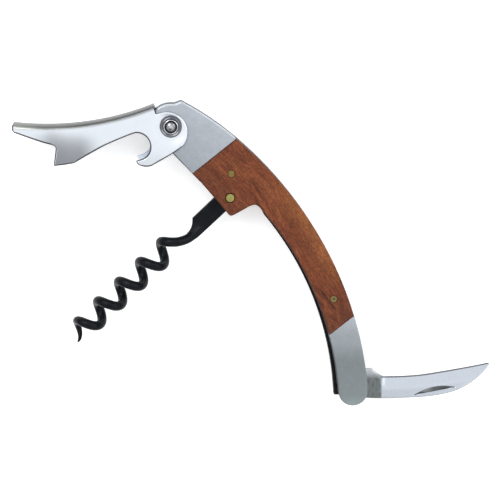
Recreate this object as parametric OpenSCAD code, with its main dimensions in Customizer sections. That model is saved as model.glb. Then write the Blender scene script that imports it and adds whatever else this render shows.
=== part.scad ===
// Waiters corkscrew, lying flat on its side, half unfolded.
// X runs along the length, Y across it, Z through the thickness of the handle.
// The outlines are drawn about the worm pivot and then moved so that the
// origin is the centre of the footprint, on the surface that it lies on.

/* [Handle] */
// Thickness of the gap between the two liners
core_t = 2.6; // [2.4:0.1:3]
// Thickness of each steel liner
liner_t = 1.2; // [1:0.1:1.4]
// Thickness of each scale and bolster
scale_t = 3.0; // [2.5:0.1:3.2]

/* [Lever] */
// Side play between a lever wall and the bolster
lever_gap = 0.3; // [0.2:0.05:0.5]
// Thickness of the lever's sheet
sheet_t = 1.4; // [1.2:0.1:1.6]
// Radius of the lever rivet's shank
lever_rivet_r = 1.9; // [1.6:0.1:2]
// How far the rivet heads stand proud of the walls
head_h = 1.2; // [1:0.1:1.5]

/* [Worm] */
// Outside radius of the worm
worm_r = 4.75; // [4.5:0.05:4.8]
// Radius of the worm's wire
wire_r = 1.6; // [1.4:0.05:1.6]
// Pitch of the worm
worm_pitch = 9.8; // [9.4:0.1:10]
// Thickness of the flattened tang and of the blade
tang_t = 2.0; // [1.8:0.1:2]
// Radius of the worm's pivot pin
worm_pin_r = 1.4; // [1.2:0.1:1.6]

/* [Blade] */
// Radius of the blade's pivot pin
blade_pin_r = 1.6; // [1.4:0.1:1.8]
// Running clearance round each pivot, on the radius
run_fit = 0.05; // [0.03:0.01:0.08]

/* [Hidden] */
$fn = 64;

// layers, measured from the middle of the handle
z1 = core_t/2;              // liner, inside
z2 = z1 + liner_t;          // liner, outside
z3 = z2 + scale_t;          // scale and bolster, outside
z4 = z3 + lever_gap;        // lever wall, inside
z5 = z4 + sheet_t;          // lever wall, outside
z6 = z5 + head_h;           // rivet head
mid = z6;                   // height of the middle above the surface

// pivots and pins, about the worm pivot
LV = [-19.2, 23.8];         // lever
BP = [44.0, -67.6];         // blade
US = [0.4, 8.0];            // upper scale pin
LS = [34.8, -35.0];         // lower scale pin
SP = [-7.4, 16.2];          // spring pin, under the upper bolster

// centres of the big arcs
CO = [-81.3, -78.9];  RO = 129;     // back of the handle
CU = [-62.65, -56.7]; RU = 100;     // back of the upper bolster
CI = [-75.5, -77.7];  RI = 113.0;   // hollow side of the handle
CS = [-74.6, -76.1];  RS = 110.8;   // hollow side of the backspring
EN = [42.1, -67.9];   RE = 5;       // rounded end
CB = [-59, 117.6];    RB = 94.3;    // back of the lever

// the footprint runs from the toe of the lever to the tip of the blade,
// and from the end of the handle to the corner of the upper bolster
shift = [-9.85, 20.7];

function arc(c, r, a0, a1, n = 24) =
    [for (i = [0:n]) let (a = a0 + (a1 - a0)*i/n) [c[0] + r*cos(a), c[1] + r*sin(a)]];

// smooth curve through hand-placed points, m steps a span
function cr(a, b, c, d, t) = 0.5*((2*b) + (c - a)*t + (2*a - 5*b + 4*c - d)*t*t + (3*b - a - 3*c + d)*t*t*t);
function curve(p, m = 6) = let (n = len(p)) [for (i = [0:n-2]) for (j = [0:m-1])
    cr(p[max(i-1, 0)], p[i], p[i+1], p[min(i+2, n-1)], j/m)];

module place() translate([shift[0], shift[1], mid]) children();
module slab(a, b) translate([0, 0, a]) linear_extrude(b - a) children();
module at2(p, r) translate(p) circle(r, $fn = r > 20 ? 720 : 64);

// ---------- handle outline ----------
handle_pts = concat(
    [[-16.0, 31.5]],
    arc(CU, RU, 62, 50, 10),
    arc(CO, RO, 49.5, 5.1, 60),
    arc(EN, RE, 0, -175, 22),
    arc(CI, RI, 5.2, 40, 50),
    curve([[10.6, -4.6], [9.6, -3.3], [8.3, -2.5], [6.6, -2.9], [4.0, -4.3], [1.6, -5.6], [0.6, -6.0],
        [-0.2, -5.9], [-1.4, -4.6], [-5.2, 0.0]], 4),
    [[-5.2, 0.0], [-9.5, 5.1], [-18.5, 14.9]],
    arc(LV, 7, 188, 88, 30),
    [[-17.8, 30.8]]);
module handle_2d() polygon(handle_pts);

// the joints between bolsters and scales, as half planes
module above_upper_joint() polygon([[-30.2, -5.7], [23.8, 36.7], [10, 70], [-60, 60]]);
module below_lower_joint() polygon([[21.9, -56.6], [54, -31.6], [80, -60], [60, -100], [20, -90]]);

module bolt_holes(fit = 0) {
    at2(LV, lever_rivet_r + run_fit);
    at2([0, 0], worm_pin_r + fit);
    at2(US, 1.1 + fit);
    at2(SP, 1.0 + fit);
    at2(LS, 1.15 + fit);
    at2(BP, blade_pin_r + fit);
}

module flip(s) { if (s > 0) children(); else mirror([0, 0, 1]) children(); }
module side_plate(s, a, b) place() flip(s) slab(a, b) children();

module liner_front() color("gainsboro") side_plate(1, z1, z2) difference() { handle_2d(); bolt_holes(); }
module liner_rear() color("gainsboro") side_plate(-1, z1, z2) difference() { handle_2d(); bolt_holes(); }

module upper_bolster(s) color("silver") side_plate(s, z2, z3) difference() {
    intersection() { handle_2d(); above_upper_joint(); }
    bolt_holes();
}
module upper_bolster_front() upper_bolster(1);
module upper_bolster_rear() upper_bolster(-1);

module lower_bolster(s) color("silver") side_plate(s, z2, z3) difference() {
    intersection() { handle_2d(); below_lower_joint(); }
    bolt_holes();
}
module lower_bolster_front() lower_bolster(1);
module lower_bolster_rear() lower_bolster(-1);

module wood_scale(s) color("saddlebrown") side_plate(s, z2, z3) difference() {
    handle_2d();
    above_upper_joint();
    below_lower_joint();
    bolt_holes();
}
module scale_front() wood_scale(1);
module scale_rear() wood_scale(-1);

// ---------- backspring: fills the head of the handle, then runs down the
// hollow side as a leaf whose nose bears on the tang of the blade ----------
spring_pts = concat(
    [[-16.0, 31.5]],
    arc(CU, RU, 62, 50, 10),
    arc(CO, RO, 49.5, 31.5, 22),
    // inner face of the leaf, clear of the folded blade
    curve([[25.6, -11.6], [24.9, -12.6], [25.2, -15.0], [27.0, -23.0], [30.2, -33.5], [33.3, -44.0], [35.2, -54.0], [36.2, -61.0], [36.5, -66.0]], 5),
    [[36.7, -66.9], [38.0, -67.6], [40.0, -68.6], [39.2, -70.2]],
    arc(CS, RS, 3.1, 39, 46),
    curve([[10.6, -4.6], [9.6, -3.3], [8.3, -2.5], [6.6, -2.9]], 4),
    // room for the tang of the worm
    [[6.2, -3.1], [4.6, 0.4]],
    arc([0, 0], 4.1, 20, 90, 12),
    [[-9.7, 4.9], [-18.85, 14.6]],
    arc(LV, 7, 188, 88, 30),
    [[-17.8, 30.8]]);
module spring_2d() difference() {
    polygon(spring_pts);
    at2(LV, lever_rivet_r + run_fit);
    at2(US, 1.1);
    at2(SP, 1.0);
}
module backspring() color("dimgray") place() slab(-z1, z1) spring_2d();

// ---------- pins ----------
module pin(p, r, a, b) place() translate([p[0], p[1], a]) cylinder(r = r, h = b - a);
module spring_pin() color("silver") pin(SP, 1.0, -z3, z3);
module upper_scale_pin() color("darkkhaki") pin(US, 1.1, -z3, z3);
module lower_scale_pin_front() color("darkkhaki") pin(LS, 1.15, z1, z3);
module lower_scale_pin_rear() color("darkkhaki") pin(LS, 1.15, -z3, -z1);
module worm_pivot_pin() color("darkkhaki") pin([0, 0], worm_pin_r, -z3, z3);
module blade_pivot_pin() color("silver") pin(BP, blade_pin_r, -z3, z3);

module washers(p, r, ro) {
    for (s = [0, 1]) mirror([0, 0, s]) slab(tang_t/2 + 0.04, z1) difference() { at2(p, ro); at2(p, r); }
}
module worm_washers() color("goldenrod") place() washers([0, 0], worm_pin_r, 3.0);
module blade_washers() color("goldenrod") place() washers(BP, blade_pin_r, 2.9);

// ---------- worm ----------
worm_dir = 223;             // direction of the worm, half unfolded
worm_off = 0.95;            // the coil's axis beside the pivot
coil_r = worm_r - wire_r;
coil_s = 21.8;              // where the coil begins, from the pivot
coil_end = 71.4;            // the point
// the wire's middle line in the worm's own axes: s along, n across, z up
function wire_at(s) = let (th = -180 + 360*(s - coil_s)/worm_pitch)
    [s, worm_off + coil_r*cos(th), -coil_r*sin(th)];
// the wire leaves the tang along its lower edge and climbs into the coil
lead_in = curve([[10.5, -1.3, 0], [14.5, -1.35, 0], [17.5, -1.45, 0.1], [19.8, -1.1, 0.9], [21.8, -0.1, 2.1],
    [23.5, 1.3, 2.8], wire_at(25), wire_at(26.6)], 3);
coil_pts = concat(lead_in, [for (i = [1:118]) wire_at(26.6 + (coil_end - 26.6)*i/118)]);
function turn(s) = s < 17.5 ? -180 : s < 25 ? -180 + 117.6*(s - 17.5)/7.5 : -180 + 360*(s - coil_s)/worm_pitch;
function wire_rad(s) = s < 62 ? wire_r : s > coil_end ? 0.12 : 0.12 + (wire_r - 0.12)*pow((coil_end - s)/(coil_end - 62), 0.8);
function unit(v) = v/norm(v);
module wire(pts, sides) {
    n = len(pts);
    tan = [for (i = [0:n-1]) unit(pts[min(i+1, n-1)] - pts[max(i-1, 0)])];
    // one side direction of each ring points away from the worm's axis
    rings = [for (i = [0:n-1]) let (t = tan[i], q = turn(pts[i][0]), w = [0, cos(q), -sin(q)],
            a = unit(w - (w*t)*t), b = cross(t, a))
        for (k = [0:sides-1]) pts[i] + wire_rad(pts[i][0])*(a*cos(360*k/sides) + b*sin(360*k/sides))];
    faces = concat(
        [[for (k = [0:sides-1]) k]],
        [for (i = [0:n-2]) for (k = [0:sides-1]) let (a = i*sides + k, b = i*sides + (k+1)%sides)
            [a, a + sides, b + sides, b]],
        [[for (k = [sides-1:-1:0]) (n-1)*sides + k]]);
    polyhedron(points = rings, faces = faces, convexity = 12);
}
module tang_2d() difference() {
    union() {
        at2([0, 0], 3.05);
        polygon([[0, -3.05], [14.0, -3.05], [15.6, -2.6], [16.2, -1.6], [15.4, 1.2], [14.4, 3.0], [0, 3.05]]);
    }
    at2([0, 0], worm_pin_r + run_fit);
}
module worm() color([0.1, 0.1, 0.11]) place() rotate(worm_dir) mirror([0, 1, 0]) {
    slab(-tang_t/2, tang_t/2) tang_2d();
    wire(coil_pts, 12);
}

// ---------- blade ----------
blade_pts = concat(
    arc(BP, 3.4, 262, 84, 24),
    [[45.6, -62.6]],
    curve([[46.4, -61.6], [48.0, -61.4], [49.3, -61.5], [50.4, -62.4], [51.8, -63.5], [53.4, -64.3]], 4),
    curve([[53.4, -64.3], [60, -64.3], [66, -64.0], [73, -63.1], [80, -62.0], [86, -61.0], [90.2, -60.2]], 5),
    curve([[90.6, -60.4], [90.4, -61.4], [87.4, -64.8], [82.3, -68.4], [77, -70.5], [70, -71.7], [62, -72.05],
        [53, -72.1], [47.8, -71.8], [45.6, -71.4], [44.6, -71.05]], 5));
module nick_2d() intersection() { at2([71.2, -78.6], 10.6); at2([71.8, -60.2], 10.8); }
module blade() color("whitesmoke") place() difference() {
    slab(-tang_t/2, tang_t/2) difference() { polygon(blade_pts); at2(BP, blade_pin_r + run_fit); }
    slab(tang_t/2 - 0.35, tang_t/2 + 1) nick_2d();
}

// ---------- lever ----------
lever_pts = concat(
    arc(CB, RB, 262.8, 291.1, 36),
    [[-24.6, 28.5]],
    arc([-20.7, 21.8], 6.75, 117, -36, 34),
    curve([[-15.6, 17.4], [-17.7, 15.8], [-20.3, 14.1], [-23.6, 12.2], [-25.2, 11.3]], 3),
    arc([-27.2, 15.8], 5, -68, -125, 10),
    [[-30.6, 12.7]],
    arc([-30.3, 17.4], 4.4, -80, 92, 30),
    curve([[-31.0, 21.7], [-33, 21.0], [-37, 19.4], [-41, 17.6], [-45.5, 15.2], [-50.3, 12.6]], 4),
    curve([[-50.3, 12.6], [-52, 12.0], [-54, 11.7], [-57.0, 11.5]], 3),
    curve([[-57.0, 11.5], [-56.6, 14.0], [-56.3, 17.0], [-56.7, 17.9]], 3),
    curve([[-56.7, 17.9], [-60, 18.85], [-63, 19.9], [-66, 21.0], [-69.2, 22.2]], 3),
    [[-69.2, 22.2], [-70.0, 22.9], [-70.6, 23.8]]);
module lever_2d() polygon(lever_pts);
module lever() color("lightgray") place() difference() {
    slab(-z5, z5) lever_2d();
    // the channel between the walls, under the back
    slab(-z4, z4) difference() {
        translate([-90, -10]) square([90, 50]);
        difference() {
            at2(CB, RB + sheet_t);
            translate([-25, 0]) square([60, 60]);
        }
    }
    slab(-z5 - 1, z5 + 1) at2(LV, lever_rivet_r);
}
module lever_rivet() color("silver") place() translate(LV) {
    translate([0, 0, -z5]) cylinder(r = lever_rivet_r, h = 2*z5);
    for (s = [0, 1]) mirror([0, 0, s]) translate([0, 0, z5])
        rotate_extrude() intersection() {
            translate([0, 0]) square([2.3, head_h]);
            translate([0, head_h - 3.2]) circle(3.2);
        }
}
module rosette(s) color("gray") place() flip(s) translate([LV[0], LV[1], z5])
    rotate_extrude() polygon([[2.32, 0], [3.5, 0], [3.5, 0.25], [3.2, 0.6], [2.9, 0.7], [2.6, 0.6], [2.32, 0.3]]);
module lever_rosette_front() rosette(1);
module lever_rosette_rear() rosette(-1);

liner_front();
liner_rear();
backspring();
upper_bolster_front();
upper_bolster_rear();
lower_bolster_front();
lower_bolster_rear();
scale_front();
scale_rear();
spring_pin();
upper_scale_pin();
lower_scale_pin_front();
lower_scale_pin_rear();
worm_pivot_pin();
worm_washers();
worm();
blade_pivot_pin();
blade_washers();
blade();
lever();
lever_rivet();
lever_rosette_front();
lever_rosette_rear();
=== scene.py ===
import math

import bpy
import numpy as np
from mathutils import Matrix, Vector
from mathutils.geometry import delaunay_2d_cdt

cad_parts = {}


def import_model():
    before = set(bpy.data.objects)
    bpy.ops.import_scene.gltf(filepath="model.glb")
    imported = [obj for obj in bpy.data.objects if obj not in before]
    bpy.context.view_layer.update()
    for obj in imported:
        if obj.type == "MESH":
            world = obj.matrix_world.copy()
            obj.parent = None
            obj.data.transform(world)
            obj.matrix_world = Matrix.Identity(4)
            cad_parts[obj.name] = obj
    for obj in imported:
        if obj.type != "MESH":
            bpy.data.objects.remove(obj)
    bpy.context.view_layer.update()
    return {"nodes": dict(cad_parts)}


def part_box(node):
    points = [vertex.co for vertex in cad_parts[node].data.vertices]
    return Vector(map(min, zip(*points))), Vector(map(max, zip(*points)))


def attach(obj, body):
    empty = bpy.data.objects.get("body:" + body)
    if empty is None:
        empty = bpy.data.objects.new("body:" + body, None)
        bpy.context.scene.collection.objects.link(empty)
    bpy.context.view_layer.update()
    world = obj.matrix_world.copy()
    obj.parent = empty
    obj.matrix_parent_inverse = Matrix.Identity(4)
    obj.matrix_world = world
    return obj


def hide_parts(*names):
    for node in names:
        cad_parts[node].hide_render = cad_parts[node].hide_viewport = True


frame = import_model()
MM = 0.001


# ------------------------------------------------------------------ the frame
def centre(node):
    lo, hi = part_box(node)
    return (lo + hi) / 2


O = centre("worm_pivot_pin")          # every outline is drawn about the worm's pivot, in mm


def flat(node):
    c = centre(node)
    return np.array([(c.x - O.x) / MM, (c.y - O.y) / MM])


def top(node):
    return (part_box(node)[1].z - O.z) / MM


LV, BP, US, LS, SP = (flat(n) for n in ("lever_rivet", "blade_pivot_pin", "upper_scale_pin", "lower_scale_pin_front", "spring_pin"))
Z_CORE, Z_LINER, Z_FACE = top("backspring"), top("liner_front"), top("scale_front")
Z_WALL, Z_HEAD, Z_TANG = top("lever"), top("lever_rivet"), top("blade")
SHEET = 1.4
Z_IN = Z_WALL - SHEET

# ------------------------------------------------------------------ 2D outlines
CO, RO = (-81.3, -78.9), 129.0
CU, RU = (-62.65, -56.7), 100.0
CI, RI = (-75.5, -77.7), 113.0
EN, RE = (42.1, -67.9), 5.0
CB, RB = (-59.0, 117.6), 93.85


def arc(c, r, a0, a1, n):
    a = np.radians(np.linspace(a0, a1, n + 1))
    return np.c_[c[0] + r * np.cos(a), c[1] + r * np.sin(a)]


def curve(p, m=10):
    p = np.array(p, float)
    n = len(p)
    out = []
    for i in range(n - 1):
        a, b, c, d = p[max(i - 1, 0)], p[i], p[i + 1], p[min(i + 2, n - 1)]
        for j in range(m):
            t = j / m
            out.append(0.5 * (2 * b + (c - a) * t + (2 * a - 5 * b + 4 * c - d) * t * t + (3 * b - a - 3 * c + d) * t ** 3))
    return np.array(out)


def join(*parts):
    return np.vstack([np.array(p, float).reshape(-1, 2) for p in parts])


def clean(p, eps=0.02):
    keep = [p[0]]
    for q in p[1:]:
        if np.hypot(*(q - keep[-1])) > eps:
            keep.append(q)
    if np.hypot(*(keep[0] - keep[-1])) <= eps:
        keep.pop()
    return np.array(keep)


def area(p):
    q = np.roll(p, -1, 0)
    return 0.5 * np.sum(p[:, 0] * q[:, 1] - q[:, 0] * p[:, 1])


def ccw(p):
    return p if area(p) > 0 else p[::-1].copy()


def split_long(p, step):
    out = []
    n = len(p)
    for i in range(n):
        a, b = p[i], p[(i + 1) % n]
        k = max(1, int(math.ceil(np.hypot(*(b - a)) / step)))
        for j in range(k):
            out.append(a + (b - a) * j / k)
    return np.array(out)


def soften(p, r, turn=22, k=5):
    """Rounds each corner of a closed outline: the outline is cut back r on both sides, and a short curve bridges it."""
    p = clean(p)
    n = len(p)
    e = np.roll(p, -1, 0) - p
    length = np.hypot(e[:, 0], e[:, 1])
    s = np.concatenate([[0], np.cumsum(length)])
    total = s[-1]
    d_in, d_out = np.roll(e, 1, 0), e
    ang = np.abs(np.degrees(np.arctan2(d_in[:, 0] * d_out[:, 1] - d_in[:, 1] * d_out[:, 0], (d_in * d_out).sum(1))))
    corners = [i for i in range(n) if ang[i] > turn]

    def at(x):
        x %= total
        i = min(int(np.searchsorted(s, x, "right")) - 1, n - 1)
        return p[i] + e[i] * (x - s[i]) / max(length[i], 1e-9)

    out = []
    for i in range(n):
        if i in corners:
            a, b = at(s[i] - r), at(s[i] + r)
            for j in range(k + 1):
                t = j / k
                out.append((1 - t) ** 2 * a + 2 * t * (1 - t) * p[i] + t * t * b)
        else:
            near = min([min(abs(s[i] - s[c]), total - abs(s[i] - s[c])) for c in corners] or [1e9])
            if near > r + 0.01:
                out.append(p[i])
    return clean(np.array(out), 0.01)


def clip(p, a, b, left=True):
    """The part of outline p to the left (or right) of the line from a to b."""
    a, b = np.array(a, float), np.array(b, float)
    d = b - a
    side = (d[0] * (p[:, 1] - a[1]) - d[1] * (p[:, 0] - a[0])) * (1 if left else -1)
    out = []
    n = len(p)
    for i in range(n):
        j = (i + 1) % n
        if side[i] >= 0:
            out.append(p[i])
        if (side[i] >= 0) != (side[j] >= 0):
            t = side[i] / (side[i] - side[j])
            out.append(p[i] + (p[j] - p[i]) * t)
    return clean(np.array(out), 0.005)


handle_line = ccw(clean(join(
    [[-16.0, 31.5]],
    arc(CU, RU, 62, 50, 40),
    arc(CO, RO, 49.8, 5.1, 220),
    arc(EN, RE, 4, -175, 60),
    arc(CI, RI, 5.2, 40, 180),
    curve([[10.6, -4.6], [9.6, -3.3], [8.3, -2.5], [6.6, -2.9], [4.0, -4.3], [1.6, -5.6], [0.6, -6.0], [-0.2, -5.9], [-1.4, -4.6], [-5.2, 0.0]], 8),
    [[-5.2, 0.0], [-9.5, 5.1], [-18.5, 14.9]],
    arc(LV, 7, 188, 88, 60),
    [[-17.8, 30.8]])))
UJ = ([-30.2, -5.7], [23.8, 36.7])     # joint between the upper bolster and the scale
LJ = ([21.9, -56.6], [54.0, -31.6])    # joint between the scale and the lower bolster
upper_line = clip(handle_line, *UJ)
lower_line = clip(handle_line, *LJ, left=False)
scale_line = clip(clip(handle_line, *UJ, left=False), *LJ)


def off_line(p, line):
    a, b = np.array(line[0], float), np.array(line[1], float)
    d = (b - a) / np.hypot(*(b - a))
    return abs(d[0] * (p[..., 1] - a[1]) - d[1] * (p[..., 0] - a[0]))


# ------------------------------------------------------------------ mesh tools
def smooth(x, a, b):
    t = np.clip((x - a) / (b - a), 0, 1)
    return t * t * (3 - 2 * t)


def make(name, verts, faces, mat=None, sharp=32):
    me = bpy.data.meshes.new(name)
    me.from_pydata([tuple(v) for v in verts], [], [tuple(f) for f in faces])
    me.validate()
    me.update()
    me.polygons.foreach_set("use_smooth", [True] * len(me.polygons))
    me.set_sharp_from_angle(angle=math.radians(sharp))
    ob = bpy.data.objects.new(name, me)
    bpy.context.scene.collection.objects.link(ob)
    if mat:
        me.materials.append(mat)
    return ob


def world(x, y, z):
    return (O.x + x * MM, O.y + y * MM, O.z + z * MM)


def inset(p, d):
    """Moves a closed outline to its left by d at each point."""
    e1 = p - np.roll(p, 1, 0)
    e2 = np.roll(p, -1, 0) - p
    e1 /= np.hypot(e1[:, 0], e1[:, 1])[:, None]
    e2 /= np.hypot(e2[:, 0], e2[:, 1])[:, None]
    n1, n2 = np.c_[-e1[:, 1], e1[:, 0]], np.c_[-e2[:, 1], e2[:, 0]]
    m = n1 + n2
    m /= np.maximum(np.hypot(m[:, 0], m[:, 1]), 1e-6)[:, None]
    k = d / np.maximum((m * n1).sum(1), 0.5)
    return p + m * k[:, None]


def inside(pts, loop):
    x, y = pts[:, 0][:, None], pts[:, 1][:, None]
    a, b = loop, np.roll(loop, -1, 0)
    cond = (a[:, 1] > y) != (b[:, 1] > y)
    xi = a[:, 0] + (y - a[:, 1]) * (b[:, 0] - a[:, 0]) / np.where(b[:, 1] == a[:, 1], 1e-12, b[:, 1] - a[:, 1])
    return (np.sum(cond & (x < xi), 1) % 2) == 1


def gap_to(pts, loop):
    a, b = loop, np.roll(loop, -1, 0)
    best = np.full(len(pts), 1e9)
    for i in range(0, len(pts), 400):
        q = pts[i:i + 400, None, :]
        d = b - a
        t = np.clip(((q - a) * d).sum(2) / np.maximum((d * d).sum(1), 1e-12), 0, 1)
        best[i:i + 400] = np.hypot(*np.moveaxis(q - (a + d * t[..., None]), 2, 0)).min(1)
    return best


def fill(loops, grid, extra=None):
    """Triangles of the flat region bounded by loops[0], less the others, with points on a grid inside it."""
    pts = np.vstack(loops)
    edges, base = [], 0
    for lp in loops:
        n = len(lp)
        edges += [(base + i, base + (i + 1) % n) for i in range(n)]
        base += n
    inner = np.zeros((0, 2))
    if grid:
        lo, hi = loops[0].min(0), loops[0].max(0)
        xs, ys = np.arange(lo[0], hi[0], grid), np.arange(lo[1], hi[1], grid * 0.87)
        g = np.array([[x + (grid / 2 if j % 2 else 0), y] for j, y in enumerate(ys) for x in xs])
        if extra is not None:
            e, clear = extra
            g = np.vstack([g[~clear(g)], e])
        ok = inside(g, loops[0])
        for lp in loops[1:]:
            ok &= ~inside(g, lp)
        g = g[ok]
        for lp in loops:
            far = gap_to(g, lp) > 0.35 * grid if extra is None else gap_to(g, lp) > 0.12
            g = g[far]
        inner = g
    allp = np.vstack([pts, inner])
    v, _, f, ov, _, _ = delaunay_2d_cdt([Vector(p) for p in allp], edges, [], 1, 1e-7, True)
    back = [o[0] if o else -1 for o in ov]
    tri = []
    v2 = np.array([[q[0], q[1]] for q in v])
    cen = np.array([v2[list(t)].mean(0) for t in f])
    ok = inside(cen, loops[0])
    for lp in loops[1:]:
        ok &= ~inside(cen, lp)
    new = {}
    for t, k in zip(f, ok):
        if not k:
            continue
        ids = []
        for i in t:
            if back[i] >= 0:
                ids.append(back[i])
            else:
                if i not in new:
                    new[i] = len(allp) + len(new)
                ids.append(new[i])
        if len(set(ids)) == 3:
            tri.append(ids)
    if new:
        allp = np.vstack([allp, [v2[i] for i in new]])
    out = []
    for t in tri:
        a, b, c = allp[t[0]], allp[t[1]], allp[t[2]]
        if (b[0] - a[0]) * (c[1] - a[1]) - (b[1] - a[1]) * (c[0] - a[0]) < 0:
            t = t[::-1]
        out.append(t)
    return allp, out


def plate(name, outer, z0, z1, holes=(), r_top=0.3, r_bot=0.0, steps=4, grid=None, zf=None, zb=None, mat=None,
          hole_r=0.05, extra=None, sharp=32):
    """A flat piece with rounded rims. holes are (x, y, radius), or outlines. zf and zb lift the upper and the lower face."""
    loops = [ccw(np.array(outer))]
    for h in holes:
        if len(h) == 3 and np.isscalar(h[0]):
            loops.append(arc(h[:2], h[2], 0, -360, 40)[:-1])
        else:
            loops.append(ccw(np.array(h))[::-1].copy())
    th = np.linspace(0, math.pi / 2, steps + 1)

    def radius(f, lp, k):
        base = hole_r if k else f
        return np.full(len(lp), base) if np.isscalar(base) else base(lp)

    verts, faces = [], []
    top_ids, bot_ids, tops, bots = [], [], [], []
    for k, lp in enumerate(loops):
        rt = radius(r_top, lp, k)
        rb = radius(r_bot, lp, k) if not np.isscalar(r_bot) or r_bot > 0 else np.zeros(len(lp))
        rings = []
        if np.any(rb > 0):
            for a in th[::-1]:
                q = inset(lp, rb * (1 - math.cos(a)))
                z = z0 + rb * (1 - math.sin(a))
                rings.append((q, z, -1))
        else:
            rings.append((lp, np.full(len(lp), float(z0)), -1))
        for a in th:
            q = inset(lp, rt * (1 - math.cos(a)))
            z = z1 - rt * (1 - math.sin(a))
            rings.append((q, z, 1))
        start = len(verts)
        n = len(lp)
        for q, z, side in rings:
            z = np.array(z)
            if side > 0 and zf is not None:
                z = z + zf(q)
            if side < 0 and zb is not None:
                z = z + zb(q)
            verts += [(a, b, c) for (a, b), c in zip(q, z)]
        for i in range(len(rings) - 1):
            for j in range(n):
                a, b = start + i * n + j, start + i * n + (j + 1) % n
                faces.append((a, b, b + n, a + n))
        bot_ids += list(range(start, start + n))
        top_ids += list(range(start + (len(rings) - 1) * n, start + len(rings) * n))
        bots.append(rings[0][0])
        tops.append(rings[-1][0])
    for lps, ids, up in ((tops, top_ids, True), (bots, bot_ids, False)):
        g = grid if (up and (zf is not None)) or (not up and zb is not None) else None
        pts, tri = fill(lps, g, extra if g else None)
        n0 = len(ids)
        new = pts[n0:]
        f = zf if up else zb
        z = (z1 if up else z0) + (f(new) if f is not None and len(new) else np.zeros(len(new)))
        base = len(verts)
        verts += [(a, b, c) for (a, b), c in zip(new, z)]
        for t in tri:
            t = [ids[i] if i < n0 else base + i - n0 for i in t]
            faces.append(tuple(t) if up else tuple(t[::-1]))
    ob = make(name, [world(*v) for v in verts], faces, mat, sharp)
    if zf is None or zb is None:
        face_up(ob, top_ids if zf is None else [], bot_ids if zb is None else [])
    return ob


def face_up(ob, ups, downs):
    """Gives the rim of each flat face the face's own normal, so that its long triangles shade evenly."""
    normals = np.zeros((len(ob.data.vertices), 3))
    if len(ups):
        normals[ups] = (0, 0, 1)
    if len(downs):
        normals[downs] = (0, 0, -1)
    ob.data.normals_split_custom_set_from_vertices([tuple(v) for v in normals])


def lathe(name, at, profile, z_sign=1, n=72, mat=None, sharp=28, wob=0.0):
    """profile: (radius, z) from the axis outwards or back, in mm, turned about the vertical line through at."""
    verts, faces = [], []
    prof = [(r, z) for r, z in profile]
    ids = []
    for r, z in prof:
        if r < 1e-6:
            ids.append([len(verts)] * n)
            verts.append((at[0], at[1], z * z_sign))
        else:
            ids.append(list(range(len(verts), len(verts) + n)))
            for k in range(n):
                a = 2 * math.pi * k / n
                verts.append((at[0] + r * math.cos(a), at[1] + r * math.sin(a), z * z_sign))
    for i in range(len(prof) - 1):
        for k in range(n):
            q = [ids[i][k], ids[i][(k + 1) % n], ids[i + 1][(k + 1) % n], ids[i + 1][k]]
            q = [v for j, v in enumerate(q) if v not in q[:j]]
            if len(q) > 2:
                faces.append(tuple(q[::-1] if z_sign > 0 else q))
    return make(name, [world(*v) for v in verts], faces, mat, sharp)


def mirrored(name, ob):
    """A copy of ob on the other side of the handle's middle plane."""
    me = ob.data.copy()
    me.name = name
    me.transform(Matrix.Translation((0, 0, O.z)) @ Matrix.Diagonal((1, 1, -1, 1)) @ Matrix.Translation((0, 0, -O.z)))
    me.flip_normals()
    o = bpy.data.objects.new(name, me)
    bpy.context.scene.collection.objects.link(o)
    return o


def bake_modifiers(ob):
    dg = bpy.context.evaluated_depsgraph_get()
    me = bpy.data.meshes.new_from_object(ob.evaluated_get(dg))
    ob.modifiers.clear()
    ob.data = me


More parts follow.
